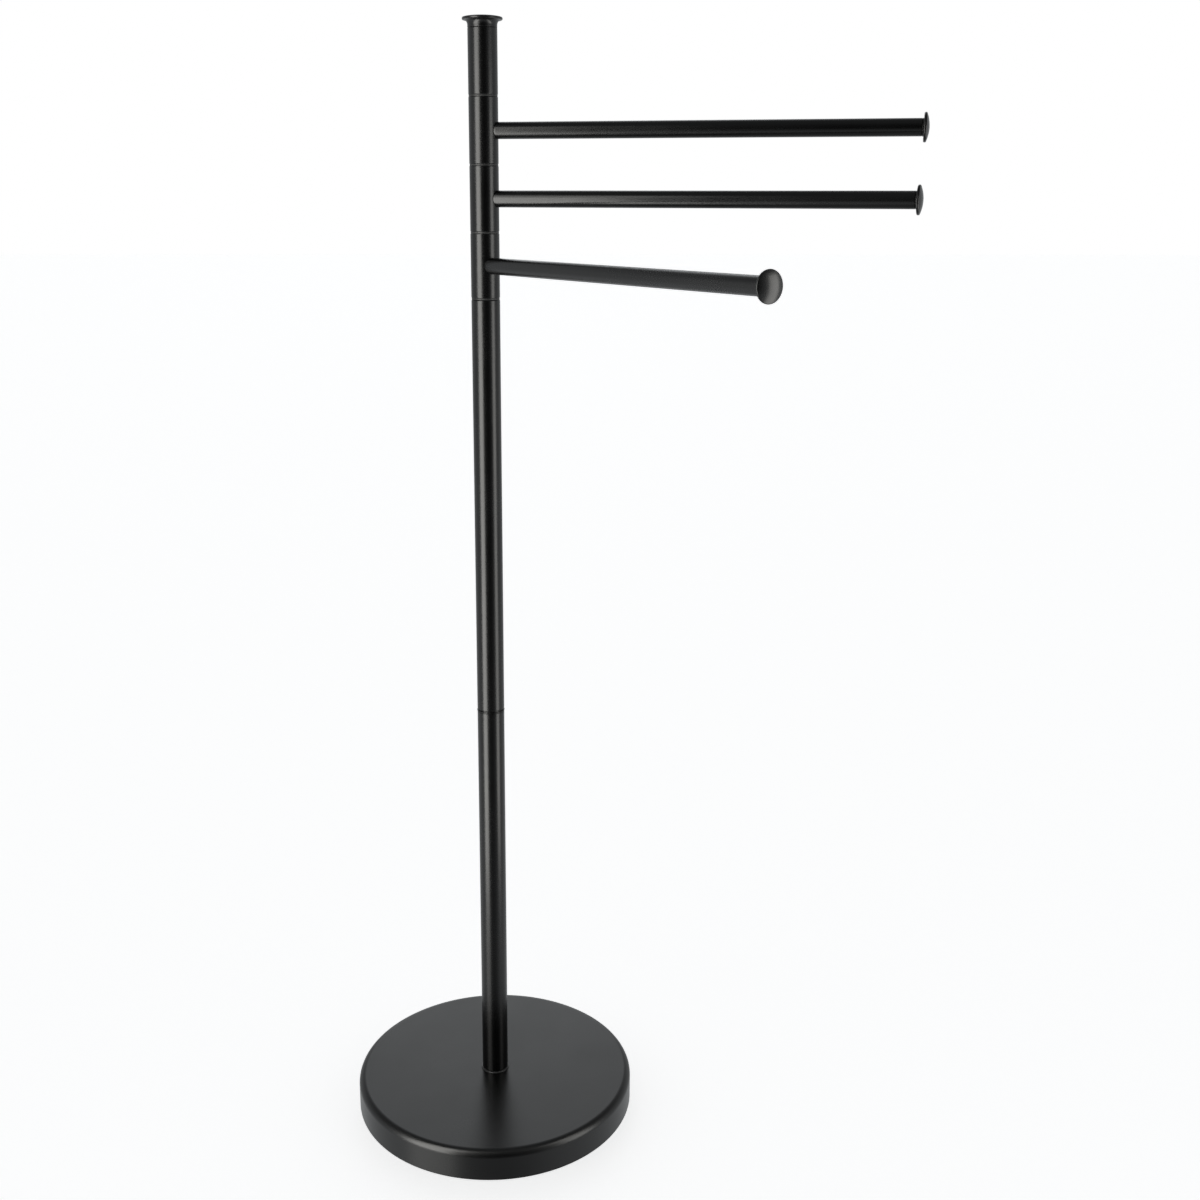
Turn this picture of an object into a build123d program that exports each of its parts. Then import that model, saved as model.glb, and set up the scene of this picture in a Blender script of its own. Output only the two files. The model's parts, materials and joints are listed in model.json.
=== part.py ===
from build123d import *
from math import cos, radians, sin
import os

# A free-standing towel rack: a round weighted base, a two-piece post and three arms that swivel
# one above the other on a spindle.  Millimetres, +Z up.  The origin is the centre of the base's
# underside, on the floor, and the pole's axis is the Z axis.

# ---- Driving dimensions -------------------------------------------------------------------------

# Weighted base
base_radius = 119.8
base_height = 26.0  # of the pressed shell, without the pad below it
base_shoulder_radius = 5.6
base_lip_radius = 0.6
shell_thickness = 1.2
pad_thickness = 2.0
pad_proud = 1.0  # how far the pad stands below the shell's rim
pad_radius = 114.0
bottom_plate_thickness = 1.0
weight_clearance = 0.2
plate_access_radius = 17.0
nut_pocket_radius = 15.0
nut_pocket_height = 12.0
base_washer_radius = 10.5
base_washer_thickness = 2.0
base_nut_height = 8.0
base_nut_across_flats = 17.0

# Pole: posts, hubs and top sleeve are one outside diameter
pole_radius = 11.1
post_wall = 1.2
hub_wall = 1.5
insert_clearance = 0.05
insert_length = 25.0
foot_ring_radius = 12.2
foot_ring_thickness = 0.8
joint_height = 363.0  # top of the lower post
joint_bead_radius = 11.4
joint_bead_height = 0.9  # the lower half of the ring, which stands out from the posts
joint_groove_radius = 10.3
joint_groove_height = 0.7  # the upper half of the ring, a groove under the upper post
stud_protrusion = 22.0  # how far each M10 stud stands into a post

# Swivel hubs
first_hub_height = 700.2
hub_pitch = 49.8
hub_gap = 0.1  # air between two neighbouring hubs
flange_radius = 10.9
flange_thickness = 0.6
bush_length = 10.0
spindle_radius = 4.0
spindle_depth = 20.0  # how deep the spindle is screwed into the post
spindle_chamfer = 0.6
running_clearance = 0.06

# Arms
arm_radius = 6.25
arm_wall = 1.0
arm_reach = 326.4  # from the pole's axis to the crown of the end cap
cope_clearance = 0.02
cap_rim_radius = 10.35
cap_rim_thickness = 1.8
cap_dome_height = 2.2
cap_neck_radius = 6.35
cap_neck_length = 0.9
cap_edge_radius = 0.8
cap_stud_length = 12.0
arm_insert_length = 16.0
arm_screw_length = 16.0
screw_head_radius = 4.0
screw_head_height = 2.2
screw_socket_radius = 1.7
screw_socket_depth = 1.2
saddle_radius = 4.5
saddle_thickness = 2.0

# Top sleeve and cap
sleeve_top = 897.6
top_cap_flare_start = 899.5
top_cap_flare_radius = 12.9
top_cap_flare_bend = 4.35
top_cap_rim_radius = 15.1
top_cap_rim_bottom = 903.0
top_cap_rim_thickness = 1.9
top_cap_dome_height = 1.6
top_cap_edge_radius = 0.8
top_cap_spigot_length = 11.0
top_cap_spigot_wall = 1.6
sleeve_insert_length = 12.0
spindle_washer_radius = 8.0
spindle_washer_thickness = 1.6
spindle_nut_height = 8.0
spindle_nut_across_flats = 13.0

# Disc spring, a shallow cone
spring_inner = 4.3
spring_outer = 7.8
spring_thickness = 0.8
spring_rise = 0.6

# Threaded parts, modelled plain at the thread's outer size
stud_radius = 4.95  # M10
stud_bore = 5.0
screw_radius = 2.45  # M5
screw_bore = 2.5
cap_stud_radius = 2.95  # M6
cap_stud_bore = 3.0
hole_clearance = 0.3  # between a stud or screw and a plain hole it passes through
threads_past_nut = 1.0

# Each arm: its name, the place of its hub counted from the bottom, and where it points at rest,
# in degrees from +X, positive anticlockwise seen from above
ARMS = (("lower", 0, -59.0), ("middle", 1, -22.0), ("upper", 2, -16.0))

# ---- Places worked out from them ----------------------------------------------------------------

base_top = pad_proud + base_height
post_bottom = base_top + foot_ring_thickness
joint_groove_bottom = joint_height + joint_bead_height
upper_post_bottom = joint_groove_bottom + joint_groove_height
half_gap = hub_gap / 2
last_hub_top = first_hub_height + hub_pitch * len(ARMS)
upper_post_top = first_hub_height - half_gap - flange_thickness
sleeve_bottom = last_hub_top + half_gap + flange_thickness
post_bore = pole_radius - post_wall
hub_bore = pole_radius - hub_wall
bush_bore = spindle_radius + running_clearance
stud_hole = stud_bore + hole_clearance
cap_neck_start = arm_reach - cap_dome_height - cap_rim_thickness - cap_neck_length
cut_past = 1.0  # how far a cutting shape runs past the material at each end

os.makedirs("parts", exist_ok=True)


def write_piece(builder, name):
    """Label a finished piece and write it as a file of its own."""
    builder.part.label = name
    export_step(builder.part, f"parts/{name}.step")


def ring_profile(radius, bore):
    """Sketch a disc, with a round hole in it where the piece has a bore."""
    Circle(radius)
    if bore > 0:
        Circle(bore, mode=Mode.SUBTRACT)


def round_piece(name, bottom, top, radius, bore=0.0):
    """A bar, tube, ring or washer about the pole's axis, between two heights."""
    with BuildPart() as piece:
        with BuildSketch(Plane.XY.offset(bottom)):
            ring_profile(radius, bore)
        extrude(amount=top - bottom)
    write_piece(piece, name)


def edges_of_radius(builder, radius):
    """The circular edges of a piece that have one radius."""
    circles = builder.edges().filter_by(GeomType.CIRCLE)
    return circles.filter_by(lambda edge: abs(edge.radius - radius) < 0.01)


def hex_nut(name, bottom, height, across_flats, bore):
    """A hexagon nut about the pole's axis, its corners turned down a little."""
    corner_radius = across_flats / 2 / cos(radians(30))
    turned_radius = corner_radius * 0.99
    with BuildPart() as nut:
        with BuildSketch(Plane.XY.offset(bottom)):
            RegularPolygon(radius=corner_radius, side_count=6)
            Circle(bore, mode=Mode.SUBTRACT)
        extrude(amount=height)
        with BuildSketch(Plane.XY.offset(bottom)):
            Circle(turned_radius)
        extrude(amount=height, mode=Mode.INTERSECT)
    write_piece(nut, name)


# ---- Base ---------------------------------------------------------------------------------------

# Pressed steel shell, open underneath, with a softly rounded shoulder
with BuildPart() as base_shell:
    with BuildSketch(Plane.XY.offset(pad_proud)):
        Circle(base_radius)
    extrude(amount=base_height)
    fillet(base_shell.edges().group_by(Axis.Z)[-1], radius=base_shoulder_radius)
    fillet(base_shell.edges().group_by(Axis.Z)[0], radius=base_lip_radius)
    with BuildSketch(Plane.XY.offset(pad_proud)):
        Circle(base_radius - shell_thickness)
    extrude(amount=base_height - shell_thickness - base_shoulder_radius, mode=Mode.SUBTRACT)
    with BuildSketch(Plane.XZ):
        with BuildLine():
            shoulder_bottom = base_top - base_shoulder_radius
            inner_radius = base_radius - shell_thickness
            bend = base_shoulder_radius - shell_thickness
            Polyline(
                (inner_radius - bend, base_top - shell_thickness),
                (0, base_top - shell_thickness),
                (0, shoulder_bottom - shell_thickness),
                (inner_radius, shoulder_bottom - shell_thickness),
                (inner_radius, shoulder_bottom),
            )
            RadiusArc(
                (inner_radius, shoulder_bottom),
                (inner_radius - bend, base_top - shell_thickness),
                -bend,
            )
        make_face()
    revolve(axis=Axis.Z, mode=Mode.SUBTRACT)
    with BuildSketch(Plane.XY.offset(base_top - shell_thickness - cut_past)):
        Circle(stud_hole)
    extrude(amount=shell_thickness + 2 * cut_past, mode=Mode.SUBTRACT)
write_piece(base_shell, "base_shell")

# Cast weight that fills the shell, with a pocket underneath for the nut
plate_bottom = pad_thickness
weight_bottom = plate_bottom + bottom_plate_thickness
weight_top = base_top - shell_thickness
weight_radius = base_radius - shell_thickness - weight_clearance
pocket_top = weight_bottom + nut_pocket_height
with BuildPart() as base_weight:
    with BuildSketch(Plane.XY.offset(weight_bottom)):
        Circle(weight_radius)
    extrude(amount=weight_top - weight_bottom)
    fillet(base_weight.edges().group_by(Axis.Z)[-1], radius=base_shoulder_radius - shell_thickness)
    with BuildSketch(Plane.XY.offset(weight_bottom)):
        Circle(stud_hole)
    extrude(amount=weight_top - weight_bottom, mode=Mode.SUBTRACT)
    with BuildSketch(Plane.XY.offset(weight_bottom)):
        Circle(nut_pocket_radius)
    extrude(amount=nut_pocket_height, mode=Mode.SUBTRACT)
write_piece(base_weight, "base_weight")

round_piece("base_bottom_plate", plate_bottom, weight_bottom, weight_radius, plate_access_radius)
round_piece("base_pad", 0.0, pad_thickness, pad_radius)

# Stud that the post screws onto, held from below by a washer and a nut
washer_bottom = pocket_top - base_washer_thickness
nut_bottom = washer_bottom - base_nut_height
stud_bottom = nut_bottom - threads_past_nut
round_piece("base_washer", washer_bottom, pocket_top, base_washer_radius, stud_hole)
hex_nut("base_nut", nut_bottom, base_nut_height, base_nut_across_flats, stud_bore)
round_piece("base_stud", stud_bottom, post_bottom + stud_protrusion, stud_radius)
round_piece("foot_ring", base_top, post_bottom, foot_ring_radius, stud_hole)

# ---- Post, in two lengths screwed together ------------------------------------------------------

insert_radius = post_bore - insert_clearance
lower_plug_top = post_bottom + insert_length
round_piece("lower_post", post_bottom, joint_height, pole_radius, post_bore)
round_piece("lower_post_bottom_insert", post_bottom, lower_plug_top, insert_radius, stud_bore)
round_piece(
    "lower_post_top_insert", joint_height - insert_length, joint_height, insert_radius, stud_bore
)
joint_stud_bottom = joint_height - stud_protrusion
joint_stud_top = upper_post_bottom + stud_protrusion
round_piece("joint_stud", joint_stud_bottom, joint_stud_top, stud_radius)

# Ring between the posts: a bead with a groove above it
with BuildPart() as joint_ring:
    with BuildSketch(Plane.XY.offset(joint_height)):
        ring_profile(joint_bead_radius, stud_hole)
    extrude(amount=joint_bead_height)
    with BuildSketch(Plane.XY.offset(joint_groove_bottom)):
        ring_profile(joint_groove_radius, stud_hole)
    extrude(amount=joint_groove_height)
write_piece(joint_ring, "joint_ring")

upper_plug_top = upper_post_bottom + insert_length
spindle_thread_bore = spindle_radius + insert_clearance
round_piece("upper_post_bottom_insert", upper_post_bottom, upper_plug_top, insert_radius, stud_bore)
round_piece("upper_post", upper_post_bottom, upper_post_top, pole_radius, post_bore)
round_piece(
    "upper_post_top_insert",
    upper_post_top - insert_length,
    upper_post_top,
    insert_radius,
    spindle_thread_bore,
)
round_piece("thrust_washer", upper_post_top, first_hub_height - half_gap, flange_radius, bush_bore)

# ---- Top sleeve, clamped down on the hubs by a sprung nut ---------------------------------------

sleeve_insert_top = sleeve_bottom + sleeve_insert_length
with BuildPart() as top_sleeve_insert:
    with BuildSketch(Plane.XY.offset(sleeve_bottom - flange_thickness)):
        ring_profile(flange_radius, bush_bore)
    extrude(amount=flange_thickness)
    with BuildSketch(Plane.XY.offset(sleeve_bottom)):
        ring_profile(insert_radius, bush_bore)
    extrude(amount=sleeve_insert_length)
write_piece(top_sleeve_insert, "top_sleeve_insert")
round_piece("top_sleeve", sleeve_bottom, sleeve_top, pole_radius, post_bore)

spindle_washer_top = sleeve_insert_top + spindle_washer_thickness
washer_bore = spindle_radius + hole_clearance
round_piece(
    "spindle_washer", sleeve_insert_top, spindle_washer_top, spindle_washer_radius, washer_bore
)

# Disc spring: a shallow cone of spring steel that keeps the hubs lightly pressed together
with BuildPart() as disc_spring:
    with BuildSketch(Plane.XZ):
        with BuildLine():
            Polyline(
                (spring_outer, spindle_washer_top),
                (spring_outer, spindle_washer_top + spring_thickness),
                (spring_inner, spindle_washer_top + spring_rise + spring_thickness),
                (spring_inner, spindle_washer_top + spring_rise),
                close=True,
            )
        make_face()
    revolve(axis=Axis.Z)
write_piece(disc_spring, "disc_spring")

# Spindle that the three hubs turn on, screwed into the post and nutted above the sleeve's plug
spindle_nut_bottom = spindle_washer_top + spring_rise + spring_thickness
spindle_bottom = upper_post_top - spindle_depth
spindle_end = spindle_nut_bottom + spindle_nut_height + 2 * threads_past_nut
hex_nut(
    "spindle_nut",
    spindle_nut_bottom,
    spindle_nut_height,
    spindle_nut_across_flats,
    spindle_thread_bore,
)
with BuildPart() as spindle:
    with BuildSketch(Plane.XY.offset(spindle_bottom)):
        Circle(spindle_radius)
    extrude(amount=spindle_end - spindle_bottom)
    chamfer(spindle.edges().filter_by(GeomType.CIRCLE), length=spindle_chamfer)
write_piece(spindle, "spindle")

# Flared cap with a thin rim and a low dome, plugged into the sleeve
top_cap_rim_top = top_cap_rim_bottom + top_cap_rim_thickness
top_cap_top = top_cap_rim_top + top_cap_dome_height
spigot_radius = post_bore - insert_clearance
spigot_bore = spigot_radius - top_cap_spigot_wall
spigot_bottom = sleeve_top - top_cap_spigot_length
with BuildPart() as top_cap:
    with BuildSketch(Plane.XZ):
        with BuildLine():
            Polyline(
                (0, top_cap_top),
                (0, sleeve_top),
                (spigot_bore, sleeve_top),
                (spigot_bore, spigot_bottom),
                (spigot_radius, spigot_bottom),
                (spigot_radius, sleeve_top),
                (pole_radius, sleeve_top),
                (pole_radius, top_cap_flare_start),
            )
            RadiusArc(
                (pole_radius, top_cap_flare_start),
                (top_cap_flare_radius, top_cap_rim_bottom),
                top_cap_flare_bend,
            )
            Polyline(
                (top_cap_flare_radius, top_cap_rim_bottom),
                (top_cap_rim_radius, top_cap_rim_bottom),
                (top_cap_rim_radius, top_cap_rim_top),
            )
            dome_radius = (top_cap_rim_radius**2 + top_cap_dome_height**2) / (2 * top_cap_dome_height)
            RadiusArc((top_cap_rim_radius, top_cap_rim_top), (0, top_cap_top), -dome_radius)
        make_face()
    revolve(axis=Axis.Z)
    fillet(edges_of_radius(top_cap, top_cap_rim_radius), radius=top_cap_edge_radius)
write_piece(top_cap, "top_cap")


# ---- Arms ---------------------------------------------------------------------------------------

arm_plug_radius = arm_radius - arm_wall - insert_clearance
screw_hole = screw_radius + hole_clearance


def make_hub(name, place, facing):
    """Tube that turns on the spindle, with a screw hole where its arm is fixed."""
    bottom = first_hub_height + place * hub_pitch + half_gap + flange_thickness
    with BuildPart() as hub:
        with BuildSketch(Plane.XY.offset(bottom)):
            ring_profile(pole_radius, hub_bore)
        extrude(amount=hub_pitch - hub_gap - 2 * flange_thickness)
        with BuildSketch(facing.offset(hub_bore - cut_past)):
            Circle(screw_hole)
        extrude(amount=hub_wall + 2 * cut_past, mode=Mode.SUBTRACT)
    write_piece(hub, f"{name}_hub")


def make_bushes(name, place):
    """Flanged bearing bushes pressed into both ends of a hub."""
    hub_bottom = first_hub_height + place * hub_pitch + half_gap
    hub_top = hub_bottom + hub_pitch - hub_gap
    spigot = hub_bore - insert_clearance
    for end, outer_face, inward in (("bottom", hub_bottom, 1), ("top", hub_top, -1)):
        with BuildPart() as bush:
            with BuildSketch(Plane.XY.offset(outer_face)):
                ring_profile(flange_radius, bush_bore)
            extrude(amount=inward * flange_thickness)
            with BuildSketch(Plane.XY.offset(outer_face + inward * flange_thickness)):
                ring_profile(spigot, bush_bore)
            extrude(amount=inward * bush_length)
        write_piece(bush, f"{name}_{end}_bush")


def make_arm_tube(name, height, facing):
    """Straight tube whose root is coped to sit against the hub."""
    with BuildPart() as tube:
        with BuildSketch(facing):
            ring_profile(arm_radius, arm_radius - arm_wall)
        extrude(amount=cap_neck_start)
        with BuildSketch(Plane.XY.offset(height - pole_radius)):
            Circle(pole_radius + cope_clearance)
        extrude(amount=2 * pole_radius, mode=Mode.SUBTRACT)
    write_piece(tube, f"{name}_arm_tube")


def make_root_fixing(name, height, facing):
    """Threaded plug in the arm's root, and the screw that pulls it to the hub from inside."""
    with BuildPart() as plug:
        with BuildSketch(facing):
            ring_profile(arm_plug_radius, screw_bore)
        extrude(amount=pole_radius + arm_insert_length)
        with BuildSketch(Plane.XY.offset(height - pole_radius)):
            Circle(pole_radius + cope_clearance)
        extrude(amount=2 * pole_radius, mode=Mode.SUBTRACT)
    write_piece(plug, f"{name}_arm_root_plug")

    # Saddle washer: flat for the screw's head, curved to the hub's bore
    saddle_face = hub_bore - saddle_thickness
    with BuildPart() as saddle:
        with BuildSketch(facing.offset(saddle_face)):
            ring_profile(saddle_radius, screw_hole)
        extrude(amount=saddle_thickness)
        with BuildSketch(Plane.XY.offset(height - saddle_radius)):
            Circle(hub_bore - cope_clearance)
        extrude(amount=2 * saddle_radius, mode=Mode.INTERSECT)
    write_piece(saddle, f"{name}_saddle_washer")

    head_end = saddle_face - screw_head_height
    with BuildPart() as screw:
        with BuildSketch(facing.offset(head_end)):
            Circle(screw_head_radius)
        extrude(amount=screw_head_height)
        with BuildSketch(facing.offset(saddle_face)):
            Circle(screw_radius)
        extrude(amount=arm_screw_length)
        with BuildSketch(facing.offset(head_end)):
            RegularPolygon(radius=screw_socket_radius, side_count=6)
        extrude(amount=screw_socket_depth, mode=Mode.SUBTRACT)
    write_piece(screw, f"{name}_arm_screw")


def make_arm_end(name, facing):
    """Threaded plug in the arm's tip, and the mushroom cap screwed into it."""
    with BuildPart() as plug:
        with BuildSketch(facing.offset(cap_neck_start - arm_insert_length)):
            ring_profile(arm_plug_radius, cap_stud_bore)
        extrude(amount=arm_insert_length)
    write_piece(plug, f"{name}_arm_tip_plug")

    # The cap's half outline is drawn in a plane along the arm, X outwards and Y up
    outward = facing.z_dir
    outline = Plane(origin=facing.origin, x_dir=outward, z_dir=outward.cross(Vector(0, 0, 1)))
    rim_start = cap_neck_start + cap_neck_length
    rim_end = rim_start + cap_rim_thickness
    dome_radius = (cap_rim_radius**2 + cap_dome_height**2) / (2 * cap_dome_height)
    with BuildPart() as cap:
        with BuildSketch(outline):
            with BuildLine():
                Polyline(
                    (arm_reach, 0),
                    (cap_neck_start - cap_stud_length, 0),
                    (cap_neck_start - cap_stud_length, cap_stud_radius),
                    (cap_neck_start, cap_stud_radius),
                    (cap_neck_start, cap_neck_radius),
                    (rim_start, cap_neck_radius),
                    (rim_start, cap_rim_radius),
                    (rim_end, cap_rim_radius),
                )
                RadiusArc((rim_end, cap_rim_radius), (arm_reach, 0), dome_radius)
            make_face()
        revolve(axis=Axis(facing.origin, outward))
        fillet(edges_of_radius(cap, cap_rim_radius), radius=cap_edge_radius)
    write_piece(cap, f"{name}_end_cap")


for arm_name, hub_place, bearing in ARMS:
    arm_height = first_hub_height + (hub_place + 0.5) * hub_pitch
    outwards = Vector(cos(radians(bearing)), sin(radians(bearing)), 0)
    arm_plane = Plane(origin=(0, 0, arm_height), x_dir=(0, 0, 1), z_dir=outwards)
    make_hub(arm_name, hub_place, arm_plane)
    make_bushes(arm_name, hub_place)
    make_arm_tube(arm_name, arm_height, arm_plane)
    make_root_fixing(arm_name, arm_height, arm_plane)
    make_arm_end(arm_name, arm_plane)
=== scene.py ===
import json
import math

import bmesh
import bpy
from mathutils import Matrix, Vector


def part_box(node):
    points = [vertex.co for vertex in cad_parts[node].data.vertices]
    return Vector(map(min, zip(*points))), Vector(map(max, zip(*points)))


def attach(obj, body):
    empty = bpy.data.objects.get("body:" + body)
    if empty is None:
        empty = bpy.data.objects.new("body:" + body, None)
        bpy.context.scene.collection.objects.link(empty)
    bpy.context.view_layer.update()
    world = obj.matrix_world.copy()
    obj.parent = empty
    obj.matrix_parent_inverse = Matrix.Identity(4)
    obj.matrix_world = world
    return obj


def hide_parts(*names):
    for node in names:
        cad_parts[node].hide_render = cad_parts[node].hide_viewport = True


# A free-standing black towel rack: the looks of the pieces that show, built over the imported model.
# Everything is in metres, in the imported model's own frame: +Z up, the pole on the Z axis.

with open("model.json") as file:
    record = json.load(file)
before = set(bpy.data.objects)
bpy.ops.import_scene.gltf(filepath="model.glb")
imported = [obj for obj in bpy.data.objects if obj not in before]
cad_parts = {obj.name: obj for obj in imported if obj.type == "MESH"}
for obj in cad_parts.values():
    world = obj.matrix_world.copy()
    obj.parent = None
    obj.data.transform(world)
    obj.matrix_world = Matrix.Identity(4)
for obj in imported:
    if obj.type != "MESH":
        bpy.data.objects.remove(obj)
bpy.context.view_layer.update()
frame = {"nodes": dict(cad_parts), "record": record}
MM = 0.001
UP = Vector((0, 0, 1))

ARMS = ("lower", "middle", "upper")
ROUND_STEPS = 160  # faces round the pole, a hub or a cap
BASE_STEPS = 256  # faces round the base
ARM_STEPS = 96  # faces round an arm
CORNER_STEPS = 6  # faces across a rounded corner
DOME_STEPS = 24  # faces from a cap's rim to its crown
FLARE_STEPS = 8  # faces along the top cap's flare


# ---- Sizes --------------------------------------------------------------------------------------


def low(node):
    """Height of a node's lowest point."""
    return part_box(node)[0].z


def high(node):
    """Height of a node's highest point."""
    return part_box(node)[1].z


def radius(node):
    """Radius of an upright round node, from the longer side of its box."""
    corner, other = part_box(node)
    return max(other.x - corner.x, other.y - corner.y) / 2


POLE_RADIUS = radius("lower_post")
POST_BORE = POLE_RADIUS - 1.2 * MM
HUB_BORE = POLE_RADIUS - 1.5 * MM
STUD_HOLE = 5.3 * MM  # plain hole that an M10 stud passes through
SPINDLE_HOLE = radius("spindle") + 0.06 * MM
ARM_RADIUS = (high("upper_arm_tube") - low("upper_arm_tube")) / 2
ARM_BORE = ARM_RADIUS - 1.0 * MM
CAP_RADIUS = (high("upper_end_cap") - low("upper_end_cap")) / 2
PRESS_GAP = 0.05 * MM  # between a plug or bush and the bore that it sits in

# Roundings of edges
TUBE_EDGE = 0.6 * MM  # painted ends of the hubs, the sleeve and the arms
POST_EDGE = 1.0 * MM  # painted ends of the posts
HIDDEN_EDGE = 0.1 * MM  # edges inside the rack


# ---- Mesh making --------------------------------------------------------------------------------


def rounded_corner(before, corner, after, size):
    """Points of an arc that rounds one corner of an outline."""
    if size <= 0:
        return [corner]
    to_before = (before - corner).normalized()
    to_after = (after - corner).normalized()
    half_turn = to_before.angle(to_after) / 2
    setback = min(size / math.tan(half_turn), (before - corner).length, (after - corner).length)
    size = setback * math.tan(half_turn)
    centre = corner + (to_before + to_after).normalized() * size / math.sin(half_turn)
    first = corner + to_before * setback - centre
    last = corner + to_after * setback - centre
    sweep = math.pi - 2 * half_turn
    points = []
    for step in range(CORNER_STEPS + 1):
        t = step / CORNER_STEPS
        from_first = first * math.sin((1 - t) * sweep)
        to_last = last * math.sin(t * sweep)
        points.append(centre + (from_first + to_last) / math.sin(sweep))
    return points


def outline(corners, support=0.25 * MM, closed=True):
    """Outline with rounded corners, from (across, along, rounding) triples.

    Each long straight stretch gets a point at `support` from both of its ends, so that smooth
    shading stays flat along it.
    """
    spots = [Vector((across, along)) for across, along, _ in corners]
    points = []
    for index, (_, _, size) in enumerate(corners):
        before = spots[index - 1]
        after = spots[(index + 1) % len(spots)]
        points += rounded_corner(before, spots[index], after, size)
    supported = []
    for index, point in enumerate(points):
        supported.append(point)
        if index == len(points) - 1 and not closed:
            break
        run = points[(index + 1) % len(points)] - point
        if run.length > 4 * support:
            step = run.normalized() * support
            supported += [point + step, point + run - step]
    return supported


def tube_outline(bore, outer, bottom, top, edge):
    """Outline of a tube with rounded outer ends."""
    return outline(
        [
            (outer, bottom, edge),
            (outer, top, edge),
            (bore, top, HIDDEN_EDGE),
            (bore, bottom, HIDDEN_EDGE),
        ]
    )


def domed_rim(rim, rim_end, crown, edge):
    """Points over a cap's rounded rim and up its low dome to the crown on the axis.

    The rounding meets both the rim's side and the dome without a crease.
    """
    rise = crown - rim_end
    ball = (rim**2 + rise**2) / (2 * rise)
    centre = crown - ball
    edge_across = rim - edge
    edge_along = centre + math.sqrt((ball - edge) ** 2 - edge_across**2)
    start = math.atan2(edge_along - centre, edge_across)
    points = []
    for step in range(CORNER_STEPS + 1):
        angle = start * step / CORNER_STEPS
        spot = Vector((math.cos(angle), math.sin(angle))) * edge
        points.append(Vector((edge_across, edge_along)) + spot)
    for step in range(1, DOME_STEPS):
        angle = start + (math.pi / 2 - start) * step / DOME_STEPS
        points.append(Vector((ball * math.cos(angle), centre + ball * math.sin(angle))))
    points.append(Vector((0, crown)))
    return points


def flare(start_across, start_along, end_across, end_along):
    """Points of a hollow curve that leaves a tube's side smoothly and spreads outwards."""
    out = end_across - start_across
    rise = end_along - start_along
    bend = (out**2 + rise**2) / (2 * out)
    points = []
    for step in range(FLARE_STEPS + 1):
        angle = math.asin(rise / bend) * step / FLARE_STEPS
        across = start_across + bend * (1 - math.cos(angle))
        points.append(Vector((across, start_along + bend * math.sin(angle))))
    return points


def join_rings(mesh_data, first, second):
    """Faces between two rings of vertices, either of which may be a single vertex."""
    steps = max(len(first), len(second))
    for step in range(steps):
        after = (step + 1) % steps
        if len(first) == 1:
            mesh_data.faces.new((first[0], second[after], second[step]))
        elif len(second) == 1:
            mesh_data.faces.new((first[step], first[after], second[0]))
        else:
            mesh_data.faces.new((first[step], first[after], second[after], second[step]))


def lathe(points, steps=ROUND_STEPS, placing=Matrix.Identity(4)):
    """Turned solid: a closed outline of (across, along) points swept round its axis.

    The axis is Z before placing. Points on the axis become single vertices.
    """
    on_axis = 0.0001 * MM
    turned = bmesh.new()
    rings = []
    for point in points:
        if point.x < on_axis:
            rings.append([turned.verts.new(placing @ Vector((0, 0, point.y)))])
            continue
        ring = []
        for step in range(steps):
            angle = 2 * math.pi * step / steps
            spot = Vector((point.x * math.cos(angle), point.x * math.sin(angle), point.y))
            ring.append(turned.verts.new(placing @ spot))
        rings.append(ring)
    for index, ring in enumerate(rings):
        following = rings[(index + 1) % len(rings)]
        if len(ring) > 1 or len(following) > 1:
            join_rings(turned, ring, following)
    bmesh.ops.recalc_face_normals(turned, faces=turned.faces)
    return turned


def slot_of(node):
    """The record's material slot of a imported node."""
    for entry in frame["record"]["subparts"]:
        if entry["node"] == node:
            return entry["material_slot"]
    return None


def new_piece(node, mesh_data, body, material):
    """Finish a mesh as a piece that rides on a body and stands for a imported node."""
    name = f"{node}_form"
    mesh = bpy.data.meshes.new(name)
    mesh_data.to_mesh(mesh)
    mesh_data.free()
    mesh.materials.append(material)
    for polygon in mesh.polygons:
        polygon.use_smooth = True
    piece = bpy.data.objects.new(name, mesh)
    bpy.context.scene.collection.objects.link(piece)
    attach(piece, body)
    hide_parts(node)


# ---- Materials ----------------------------------------------------------------------------------

# Most values of a noise lie between these two
NOISE_LOW = 0.3
NOISE_HIGH = 0.7


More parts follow.
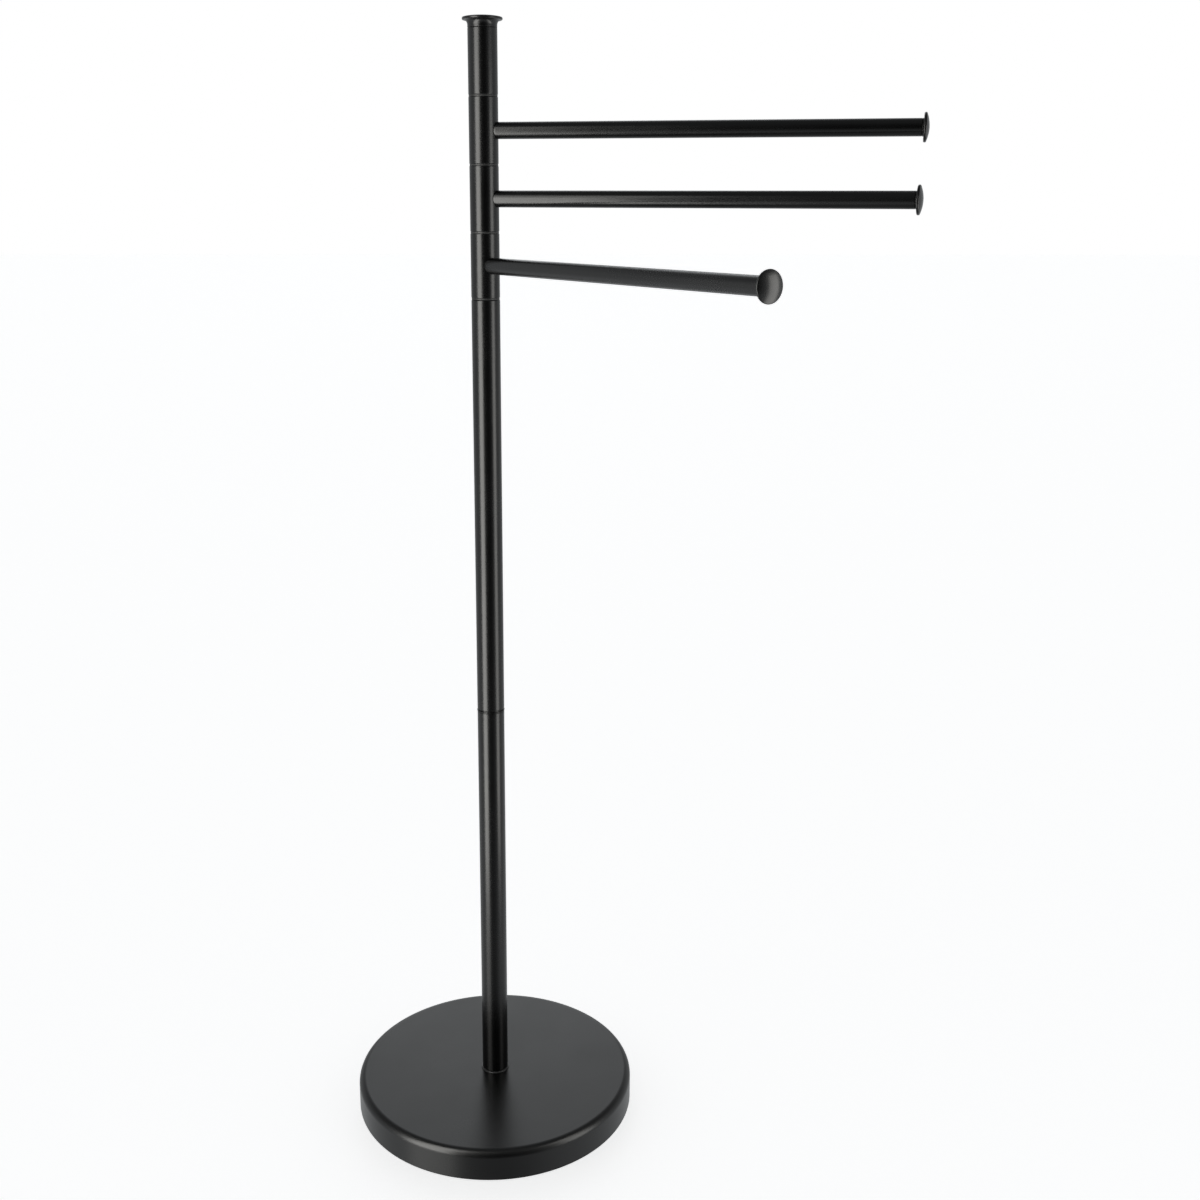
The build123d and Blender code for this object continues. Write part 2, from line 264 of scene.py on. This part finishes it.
class Shading:
    """A node material and short ways to add to it."""

    def __init__(self, name, colour, roughness, metallic=0.0):
        self.material = bpy.data.materials.new(name)
        self.material.use_nodes = True
        self.nodes = self.material.node_tree.nodes
        self.links = self.material.node_tree.links
        self.surface = self.nodes["Principled BSDF"]
        self.surface.inputs["Base Color"].default_value = (*colour, 1)
        self.surface.inputs["Roughness"].default_value = roughness
        self.surface.inputs["Metallic"].default_value = metallic
        self.place = self.nodes.new("ShaderNodeTexCoord").outputs["Object"]

    def noise(self, size, detail=3.0, stretch=None, rough=0.5):
        """Noise whose features are about `size` metres across."""
        texture = self.nodes.new("ShaderNodeTexNoise")
        texture.inputs["Scale"].default_value = 1 / size
        texture.inputs["Detail"].default_value = detail
        texture.inputs["Roughness"].default_value = rough
        place = self.place
        if stretch:
            mapping = self.nodes.new("ShaderNodeMapping")
            mapping.inputs["Scale"].default_value = stretch
            self.links.new(place, mapping.inputs["Vector"])
            place = mapping.outputs["Vector"]
        self.links.new(place, texture.inputs["Vector"])
        return texture.outputs["Fac"]

    def cells(self, size, feature="F1"):
        """Cell pattern whose cells are about `size` metres across."""
        texture = self.nodes.new("ShaderNodeTexVoronoi")
        texture.feature = feature
        texture.inputs["Scale"].default_value = 1 / size
        self.links.new(self.place, texture.inputs["Vector"])
        return texture

    def spread(self, value, low_out, high_out, low_in=NOISE_LOW, high_in=NOISE_HIGH):
        """Stretch a value from one range to another, held at both ends."""
        ranged = self.nodes.new("ShaderNodeMapRange")
        ranged.inputs["From Min"].default_value = low_in
        ranged.inputs["From Max"].default_value = high_in
        ranged.inputs["To Min"].default_value = low_out
        ranged.inputs["To Max"].default_value = high_out
        self.links.new(value, ranged.inputs["Value"])
        return ranged.outputs["Result"]

    def sum_of(self, first, second):
        """Sum of two values."""
        node = self.nodes.new("ShaderNodeMath")
        node.operation = "ADD"
        self.links.new(first, node.inputs[0])
        self.links.new(second, node.inputs[1])
        return node.outputs[0]

    def mix(self, factor, first, second):
        """Colour between two colours, each a colour or a node's output."""
        node = self.nodes.new("ShaderNodeMix")
        node.data_type = "RGBA"
        self.links.new(factor, node.inputs["Factor"])
        for socket, colour in ((node.inputs[6], first), (node.inputs[7], second)):
            if isinstance(colour, tuple):
                socket.default_value = (*colour, 1)
            else:
                self.links.new(colour, socket)
        return node.outputs[2]

    def worn_edges(self, reach):
        """How sharply the surface turns: 0 on flats, up to 1 at edges within `reach`."""
        flat = 1.0
        sharp = 0.92  # cosine between the surface's direction and the rounded one
        bevel = self.nodes.new("ShaderNodeBevel")
        bevel.samples = 4
        bevel.inputs["Radius"].default_value = reach
        geometry = self.nodes.new("ShaderNodeNewGeometry")
        product = self.nodes.new("ShaderNodeVectorMath")
        product.operation = "DOT_PRODUCT"
        self.links.new(bevel.outputs["Normal"], product.inputs[0])
        self.links.new(geometry.outputs["Normal"], product.inputs[1])
        return self.spread(product.outputs["Value"], 0.0, 1.0, flat, sharp)

    def bump(self, height, distance, strength):
        """Add a bump on top of the ones already there."""
        bump = self.nodes.new("ShaderNodeBump")
        bump.inputs["Strength"].default_value = strength
        bump.inputs["Distance"].default_value = distance
        self.links.new(height, bump.inputs["Height"])
        normal = self.surface.inputs["Normal"]
        if normal.is_linked:
            self.links.new(normal.links[0].from_socket, bump.inputs["Normal"])
        self.links.new(bump.outputs["Normal"], normal)

    def set_colour(self, colour):
        self.links.new(colour, self.surface.inputs["Base Color"])

    def set_roughness(self, value):
        self.links.new(value, self.surface.inputs["Roughness"])


def powder_coat(name, rough_low, rough_high, peel_size, peel_depth):
    """Satin black powder coat: fine orange peel, faint cloudiness, slightly thin on edges."""
    black = (0.0015, 0.0015, 0.0015)
    deep_black = (0.0011, 0.0011, 0.0011)
    soft_black = (0.002, 0.002, 0.0021)
    thin_black = (0.008, 0.008, 0.008)
    coat = Shading(name, black, rough_low)
    cloud = coat.noise(45 * MM, detail=4.0)
    grain = coat.noise(0.6 * MM, detail=2.0)
    tint = coat.mix(coat.spread(cloud, 0, 1), deep_black, soft_black)
    coat.set_colour(coat.mix(coat.worn_edges(0.5 * MM), tint, thin_black))
    mottle = coat.sum_of(cloud, grain)
    coat.set_roughness(coat.spread(mottle, rough_low, rough_high, low_in=0.7, high_in=1.3))
    coat.bump(coat.noise(peel_size, detail=1.5), peel_depth, 0.5)
    coat.bump(grain, 0.004 * MM, 0.35)
    return coat.material


def moulded_nylon(name, dark, light):
    """Dark moulded nylon: dull, with a fine tool texture."""
    nylon = Shading(name, light, 0.38)
    grain = nylon.noise(0.3 * MM, detail=2.0)
    cloud = nylon.noise(6 * MM)
    nylon.set_colour(nylon.mix(cloud, dark, light))
    nylon.set_roughness(nylon.spread(cloud, 0.3, 0.45))
    nylon.bump(grain, 0.01 * MM, 0.4)
    return nylon.material


def turned_steel(name, dark, light, rough):
    """Turned or drawn steel: fine rings or lines across the axis, mild tarnish."""
    along_the_axis_only = (0.02, 0.02, 1.0)
    steel = Shading(name, light, rough, metallic=1.0)
    lines = steel.noise(0.12 * MM, detail=2.0, stretch=along_the_axis_only)
    tarnish = steel.noise(5 * MM, detail=4.0)
    patches = steel.spread(tarnish, 0, 1, low_in=0.35, high_in=0.65)
    steel.set_colour(steel.mix(patches, dark, light))
    steel.set_roughness(steel.spread(lines, rough * 0.8, rough * 1.25))
    steel.bump(lines, 0.01 * MM, 0.5)
    return steel.material


def zinc_sheet():
    """Galvanised sheet: spangled zinc."""
    sheet = Shading("zinc_sheet", (0.55, 0.57, 0.58), 0.4, metallic=1.0)
    spangle = sheet.nodes.new("ShaderNodeSeparateColor")
    sheet.links.new(sheet.cells(9 * MM).outputs["Color"], spangle.inputs["Color"])
    sheet.set_colour(sheet.mix(spangle.outputs["Red"], (0.42, 0.44, 0.46), (0.66, 0.68, 0.69)))
    sheet.set_roughness(sheet.spread(spangle.outputs["Green"], 0.3, 0.5, low_in=0, high_in=1))
    sheet.bump(sheet.noise(0.8 * MM), 0.01 * MM, 0.4)
    return sheet.material


def cast_concrete():
    """Grey cast concrete with pores."""
    concrete = Shading("cast_concrete", (0.4, 0.39, 0.37), 0.9)
    patch = concrete.noise(18 * MM, detail=6.0, rough=0.6)
    concrete.set_colour(concrete.mix(patch, (0.3, 0.29, 0.27), (0.5, 0.49, 0.46)))
    concrete.set_roughness(concrete.spread(patch, 0.8, 0.95))
    concrete.bump(concrete.noise(1.2 * MM, detail=5.0), 0.3 * MM, 0.6)
    return concrete.material


def closed_cell_foam():
    """Black foam sheet with a skin of tiny cells."""
    foam = Shading("closed_cell_foam", (0.03, 0.03, 0.03), 0.85)
    patch = foam.noise(20 * MM)
    foam.set_colour(foam.mix(patch, (0.02, 0.02, 0.02), (0.04, 0.04, 0.042)))
    foam.set_roughness(foam.spread(patch, 0.78, 0.92))
    skin = foam.cells(0.7 * MM, "DISTANCE_TO_EDGE")
    foam.bump(skin.outputs["Distance"], 0.08 * MM, 0.6)
    return foam.material


base_coat = powder_coat("base_powder_coat", 0.27, 0.34, 2.2 * MM, 0.012 * MM)
tube_coat = powder_coat("tube_powder_coat", 0.22, 0.29, 1.6 * MM, 0.008 * MM)
cap_coat = powder_coat("cap_powder_coat", 0.22, 0.32, 1.3 * MM, 0.02 * MM)
nylon_look = moulded_nylon("bush_nylon", (0.035, 0.035, 0.034), (0.06, 0.06, 0.058))
# Foot ring: a grey nylon made lighter than the bushes' so that its colour also carries a painted
# highlight, the light arc of its rounded edge
foot_nylon_and_painted_highlight = moulded_nylon("foot_ring_nylon_and_painted_highlight", (0.08, 0.08, 0.078), (0.13, 0.13, 0.127))
foam_look = closed_cell_foam()
LOOKS = {
    "powder_coat": tube_coat,
    "nylon": nylon_look,
    "zinc_steel": turned_steel("zinc_steel", (0.45, 0.46, 0.44), (0.66, 0.67, 0.64), 0.32),
    "bright_rod": turned_steel("bright_rod", (0.52, 0.52, 0.51), (0.72, 0.72, 0.71), 0.2),
    "spring_steel": turned_steel("spring_steel", (0.12, 0.12, 0.14), (0.3, 0.3, 0.32), 0.35),
    "concrete": cast_concrete(),
    "galvanised_sheet": zinc_sheet(),
    "foam_pad": foam_look,
}


def dress_packed_nodes():
    """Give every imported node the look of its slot; the ones not replaced keep it."""
    for node, piece in frame["nodes"].items():
        piece.data.materials.clear()
        piece.data.materials.append(LOOKS[slot_of(node)])


# ---- Stand --------------------------------------------------------------------------------------


def make_base_shell():
    """Pressed shell, open underneath, with a softly rounded shoulder."""
    node = "base_shell"
    sheet = 1.2 * MM
    shoulder = 5.6 * MM
    lip = 0.55 * MM
    outer, inner = radius(node), radius(node) - sheet
    bottom, top = low(node), high(node)
    points = outline(
        [
            (STUD_HOLE, top, HIDDEN_EDGE),
            (outer, top, shoulder),
            (outer, bottom, lip),
            (inner, bottom, lip),
            (inner, top - sheet, shoulder - sheet),
            (STUD_HOLE, top - sheet, HIDDEN_EDGE),
        ],
        support=0.5 * MM,
    )
    new_piece(node, lathe(points, BASE_STEPS), "stand", base_coat)


def make_base_pad():
    """Foam pad under the base, its lower edge softened."""
    node = "base_pad"
    points = outline(
        [
            (0, low(node), 0),
            (radius(node), low(node), 0.4 * MM),
            (radius(node), high(node), HIDDEN_EDGE),
            (0, high(node), 0),
        ]
    )
    new_piece(node, lathe(points, BASE_STEPS), "stand", foam_look)


def make_tube(node, bore, edge, body, look):
    """Tube, ring or washer about the pole's axis, its outer ends rounded."""
    points = tube_outline(bore, radius(node), low(node), high(node), edge)
    new_piece(node, lathe(points), body, look)


def make_joint_ring():
    """Ring between the posts: a rounded bead, with a shadow groove above it."""
    node = "joint_ring"
    bead_top = low(node) + 0.9 * MM
    bead_edge = 0.35 * MM
    groove = 10.3 * MM
    groove_edge = 0.05 * MM
    points = outline(
        [
            (radius(node), low(node), bead_edge),
            (radius(node), bead_top, bead_edge),
            (groove, bead_top, groove_edge),
            (groove, high(node), groove_edge),
            (STUD_HOLE, high(node), HIDDEN_EDGE),
            (STUD_HOLE, low(node), HIDDEN_EDGE),
        ]
    )
    new_piece(node, lathe(points), "stand", tube_coat)


def make_flanged_bush(node, face, flange, tip, spigot, body):
    """Nylon bush about the spindle: a flange whose edge shows, and a spigot that hides in a bore.

    The face, the flange's other side and the spigot's tip are heights.
    """
    points = outline(
        [
            (radius(node), face, 0.05 * MM),
            (radius(node), flange, 0.25 * MM),
            (spigot, flange, 0),
            (spigot, tip, 0.3 * MM),
            (SPINDLE_HOLE, tip, HIDDEN_EDGE),
            (SPINDLE_HOLE, face, HIDDEN_EDGE),
        ]
    )
    new_piece(node, lathe(points), body, nylon_look)


def make_sleeve_insert():
    """Flanged plug in the sleeve's lower end."""
    node = "top_sleeve_insert"
    spigot = POST_BORE - PRESS_GAP
    make_flanged_bush(node, low(node), low("top_sleeve"), high(node), spigot, "stand")


def make_top_cap():
    """Plugged-in cap: a flare from the pole's width, a thin rounded rim and a low dome."""
    node = "top_cap"
    rim = radius(node)
    crown = high(node)
    seat = high("top_sleeve")
    flare_start = seat + 1.9 * MM
    flare_end = seat + 5.4 * MM
    flare_radius = 12.9 * MM
    rim_top = flare_end + 1.9 * MM
    rim_edge = 0.85 * MM
    support = 0.3 * MM
    spigot = POST_BORE - PRESS_GAP
    spigot_bore = spigot - 1.6 * MM
    plug = outline(
        [
            (0, seat, 0),
            (spigot_bore, seat, 0.2 * MM),
            (spigot_bore, low(node), 0.2 * MM),
            (spigot, low(node), 0.4 * MM),
            (spigot, seat, 0),
            (POLE_RADIUS, seat, 0.3 * MM),
            (POLE_RADIUS, flare_start - support, 0),
        ],
        closed=False,
    )
    flared = flare(POLE_RADIUS, flare_start, flare_radius, flare_end)
    domed = domed_rim(rim, rim_top, crown, rim_edge)
    under_rim = outline(
        [(flare_radius + support, flare_end, 0), (rim, flare_end, rim_edge), (*domed[0], 0)],
        closed=False,
    )
    new_piece(node, lathe(plug + flared + under_rim + domed[1:]), "stand", cap_coat)


# ---- Arms ---------------------------------------------------------------------------------------


def arm_direction(arm):
    """Unit vector along an arm at rest, from the pole's axis through the plug in its tip."""
    corner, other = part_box(f"{arm}_arm_tip_plug")
    middle = (corner + other) / 2
    return Vector((middle.x, middle.y, 0)).normalized()


def arm_placing(arm):
    """Turns a piece made about Z into place along an arm, at the arm's height."""
    height = (low(f"{arm}_arm_tube") + high(f"{arm}_arm_tube")) / 2
    outward = arm_direction(arm)
    across = UP.cross(outward)
    turn = Matrix((UP, across, outward)).transposed().to_4x4()
    turn.translation = UP * height
    return turn


def reach_of(node, arm):
    """Farthest distance of a node from the pole's axis, along its arm."""
    outward = arm_direction(arm)
    return max(vertex.co.dot(outward) for vertex in frame["nodes"][node].data.vertices)


def make_bushes(arm):
    """Flanged bushes in a hub's ends; only the flanges' edges show between the hubs."""
    spigot = HUB_BORE - PRESS_GAP
    hub, body = f"{arm}_hub", f"{arm}_arm"
    top, bottom = f"{arm}_top_bush", f"{arm}_bottom_bush"
    make_flanged_bush(top, high(top), high(hub), low(top), spigot, body)
    make_flanged_bush(bottom, low(bottom), low(hub), high(bottom), spigot, body)


def make_arm_tube(arm):
    """Straight tube; its root follows the hub's round side, with a rounded painted edge."""
    node = f"{arm}_arm_tube"
    placing = arm_placing(arm)
    tip = reach_of(node, arm)
    hub_surface = POLE_RADIUS + 0.02 * MM
    root_edge = 0.5 * MM
    root_support = 1.5 * MM
    tip_support = 0.3 * MM
    straight_from = POLE_RADIUS + 6 * MM  # past here the hub's shape no longer shows
    tube = bmesh.new()
    rings = []

    def ring(across, along, follows_hub=False):
        """One ring of the tube; at the root, each point sits out from the hub by `along`."""
        verts = []
        for step in range(ARM_STEPS):
            angle = 2 * math.pi * step / ARM_STEPS
            up, side = across * math.cos(angle), across * math.sin(angle)
            start = math.sqrt(hub_surface**2 - side**2) if follows_hub else 0
            verts.append(tube.verts.new(placing @ Vector((up, side, start + along))))
        rings.append(verts)

    ring(ARM_BORE, 0, follows_hub=True)
    for step in range(CORNER_STEPS + 1):
        turn = math.pi / 2 * step / CORNER_STEPS
        inset = root_edge * (1 - math.sin(turn))
        ring(ARM_RADIUS - inset, root_edge * (1 - math.cos(turn)), follows_hub=True)
    ring(ARM_RADIUS, root_edge + root_support, follows_hub=True)
    ring(ARM_RADIUS, straight_from)
    ring(ARM_RADIUS, tip - TUBE_EDGE - tip_support)
    for step in range(CORNER_STEPS + 1):
        turn = math.pi / 2 * step / CORNER_STEPS
        inset = TUBE_EDGE * (1 - math.cos(turn))
        ring(ARM_RADIUS - inset, tip - TUBE_EDGE * (1 - math.sin(turn)))
    ring(ARM_BORE, tip)
    for index, verts in enumerate(rings):
        join_rings(tube, verts, rings[(index + 1) % len(rings)])
    bmesh.ops.recalc_face_normals(tube, faces=tube.faces)
    new_piece(node, tube, f"{arm}_arm", tube_coat)


def make_end_cap(arm):
    """Mushroom cap: stud, short neck, rounded rim and a low dome."""
    node = f"{arm}_end_cap"
    crown = reach_of(node, arm)
    rim_end = crown - 2.2 * MM
    rim_start = rim_end - 1.8 * MM
    rim_edge = 0.8 * MM
    neck = 6.35 * MM
    neck_start = rim_start - 0.9 * MM
    stud = 2.95 * MM
    stud_tip = neck_start - 12.0 * MM
    domed = domed_rim(CAP_RADIUS, rim_end, crown, rim_edge)
    back = outline(
        [
            (0, stud_tip, 0),
            (stud, stud_tip, 0.4 * MM),
            (stud, neck_start, 0),
            (neck, neck_start, 0.2 * MM),
            (neck, rim_start, 0.15 * MM),
            (CAP_RADIUS, rim_start, rim_edge),
            (*domed[0], 0),
        ],
        closed=False,
    )
    turned = lathe(back + domed[1:], placing=arm_placing(arm))
    new_piece(node, turned, f"{arm}_arm", cap_coat)


# ---- Stage, light and camera --------------------------------------------------------------------

# Brightness of the studio as the rack reflects it
FRONT_GLOW = 0.012  # from where the camera stands
SIDE_GLOW = 0.52
OVERHEAD_SHARE = 0.35  # of the side glow that is left overhead
UNDERNEATH_SHARE = 0.45  # of the side glow that is left underneath
FLOOR_GLOW = 0.15  # what the floor in front adds at a slant
BACKDROP_GLOW = 1.2  # what the lit backdrop adds behind and above the rack
BACKDROP_SIDE_SHARE = 0.15  # of the backdrop's glow that is left to its sides
BACKDROP_TOP_SHARE = 0.4  # of the backdrop's glow that is left at its top
GLOW_TINT = (0.97, 1.0, 1.02)
SOFTBOX_TINT = (1.0, 0.99, 0.95)

# The camera stands in front of the rack, a little below its top, and looks down
CAMERA_PLACE = (0, -1.1181, 0.7742)
CAMERA_YAW = -3.574  # degrees, as the next two
CAMERA_PITCH = -14.245
CAMERA_ROLL = 0.155
CAMERA_SENSOR = 36.0  # mm, as the lens
CAMERA_LENS = 42.62
CAMERA_SHIFT = (0.0208, -0.0327)


def make_floor():
    """Pale floor that glows enough to stay white and takes a faint contact shadow."""
    half_size = 20.0
    flat = bmesh.new()
    bmesh.ops.create_grid(flat, x_segments=1, y_segments=1, size=half_size)
    mesh = bpy.data.meshes.new("floor")
    flat.to_mesh(mesh)
    flat.free()
    floor = bpy.data.objects.new("floor", mesh)
    bpy.context.scene.collection.objects.link(floor)
    paper = Shading("floor_paper", (0.86, 0.86, 0.86), 0.8)
    paper.surface.inputs["Specular IOR Level"].default_value = 0.1
    paper.surface.inputs["Emission Color"].default_value = (1, 1, 1, 1)
    paper.surface.inputs["Emission Strength"].default_value = 0.74
    mesh.materials.append(paper.material)
    floor.visible_glossy = False
    floor.visible_shadow = False


def softbox(name, bearing, distance, bottom, top, width, power):
    """Upright rectangular light facing the pole; only reflections show it.

    The bearing is in degrees from the side that faces the camera, positive to its right.
    """
    data = bpy.data.lights.new(name, "AREA")
    data.shape = "RECTANGLE"
    data.size = width
    data.size_y = top - bottom
    data.energy = power
    data.color = SOFTBOX_TINT
    light = bpy.data.objects.new(name, data)
    bpy.context.scene.collection.objects.link(light)
    turn = math.radians(bearing)
    inward = Vector((-math.sin(turn), math.cos(turn), 0))
    light.location = UP * (bottom + top) / 2 - inward * distance
    light.rotation_euler = inward.to_track_quat("-Z", "Y").to_euler()
    light.visible_camera = False
    light.visible_diffuse = False


def make_lights():
    """A tall softbox at each side; the left one goes on above and below, wider and dimmer."""
    softbox("left_softbox", bearing=-48.5, distance=0.62, bottom=-0.1, top=0.98, width=0.38, power=7.4)
    softbox("left_softbox_top", bearing=-46, distance=0.62, bottom=0.98, top=1.38, width=0.42, power=1.3)
    softbox("left_softbox_foot", bearing=-50, distance=0.62, bottom=-0.5, top=-0.1, width=0.44, power=0.5)
    softbox("right_softbox", bearing=60.5, distance=0.70, bottom=-0.1, top=0.9, width=0.30, power=2.8)


def make_world():
    """White to the camera; for light and reflections, bright at the sides and behind, dark in front.

    The glow depends on a direction's three parts, each from -1 to 1: X to the right, Y away from
    the side where the camera stands, and Z up.
    """
    world = bpy.data.worlds.new("studio")
    bpy.context.scene.world = world
    world.use_nodes = True
    nodes, links = world.node_tree.nodes, world.node_tree.links

    def ramp(value, start, end, at_start, at_end):
        """Smooth step from one level to another between two values."""
        node = nodes.new("ShaderNodeMapRange")
        node.interpolation_type = "SMOOTHSTEP"
        node.inputs["From Min"].default_value = start
        node.inputs["From Max"].default_value = end
        node.inputs["To Min"].default_value = at_start
        node.inputs["To Max"].default_value = at_end
        links.new(value, node.inputs["Value"])
        return node.outputs["Result"]

    def combined(operation, *values):
        """All the values added or multiplied together."""
        total = values[0]
        for value in values[1:]:
            node = nodes.new("ShaderNodeMath")
            node.operation = operation
            links.new(total, node.inputs[0])
            links.new(value, node.inputs[1])
            total = node.outputs[0]
        return total

    parts = nodes.new("ShaderNodeSeparateXYZ")
    links.new(nodes.new("ShaderNodeTexCoord").outputs["Generated"], parts.inputs["Vector"])
    away, up = parts.outputs["Y"], parts.outputs["Z"]
    either_side = nodes.new("ShaderNodeMath")
    either_side.operation = "ABSOLUTE"
    links.new(parts.outputs["X"], either_side.inputs[0])
    off_centre = either_side.outputs[0]

    walls = combined(
        "MULTIPLY",
        ramp(away, -0.98, -0.5, FRONT_GLOW, SIDE_GLOW),
        ramp(up, 0.1, 0.7, 1.0, OVERHEAD_SHARE),
        ramp(up, -0.9, -0.4, UNDERNEATH_SHARE, 1.0),
    )
    backdrop = combined(
        "MULTIPLY",
        ramp(away, 0.3, 0.75, 0.0, BACKDROP_GLOW),
        ramp(off_centre, 0.06, 0.32, 1.0, BACKDROP_SIDE_SHARE),
        ramp(up, 0.05, 0.4, 0.0, 1.0),
        ramp(up, 0.45, 0.75, 1.0, BACKDROP_TOP_SHARE),
    )
    slanting_floor = combined(
        "MULTIPLY",
        ramp(up, -0.6, -0.25, FLOOR_GLOW, 0.0),
        ramp(up, -0.95, -0.75, 0.0, 1.0),
    )
    tinted = nodes.new("ShaderNodeVectorMath")
    tinted.operation = "SCALE"
    tinted.inputs[0].default_value = GLOW_TINT
    links.new(combined("ADD", walls, backdrop, slanting_floor), tinted.inputs["Scale"])
    seen = nodes.new("ShaderNodeMix")
    seen.data_type = "RGBA"
    links.new(nodes.new("ShaderNodeLightPath").outputs["Is Camera Ray"], seen.inputs["Factor"])
    links.new(tinted.outputs["Vector"], seen.inputs[6])
    seen.inputs[7].default_value = (1, 1, 1, 1)
    links.new(seen.outputs[2], nodes["Background"].inputs["Color"])


def make_camera():
    data = bpy.data.cameras.new("camera")
    data.sensor_width = CAMERA_SENSOR
    data.lens = CAMERA_LENS
    data.shift_x, data.shift_y = CAMERA_SHIFT
    camera = bpy.data.objects.new("camera", data)
    bpy.context.scene.collection.objects.link(camera)
    turn = Matrix.Rotation(math.radians(CAMERA_YAW), 4, "Z")
    turn = turn @ Matrix.Rotation(math.radians(90 + CAMERA_PITCH), 4, "X")
    turn = turn @ Matrix.Rotation(math.radians(CAMERA_ROLL), 4, "Z")
    camera.matrix_world = Matrix.Translation(CAMERA_PLACE) @ turn
    bpy.context.scene.camera = camera


# ---- Assembly -----------------------------------------------------------------------------------

dress_packed_nodes()
make_base_shell()
make_base_pad()
make_tube("foot_ring", STUD_HOLE, 0.3 * MM, "stand", foot_nylon_and_painted_highlight)
make_tube("lower_post", POST_BORE, POST_EDGE, "stand", tube_coat)
make_joint_ring()
make_tube("upper_post", POST_BORE, POST_EDGE, "stand", tube_coat)
make_tube("thrust_washer", SPINDLE_HOLE, 0.2 * MM, "stand", nylon_look)
make_sleeve_insert()
make_tube("top_sleeve", POST_BORE, TUBE_EDGE, "stand", tube_coat)
make_top_cap()
for arm_name in ARMS:
    make_tube(f"{arm_name}_hub", HUB_BORE, TUBE_EDGE, f"{arm_name}_arm", tube_coat)
    make_bushes(arm_name)
    make_arm_tube(arm_name)
    make_end_cap(arm_name)
make_floor()
make_world()
make_lights()
make_camera()
bpy.context.scene.view_settings.view_transform = "Standard"
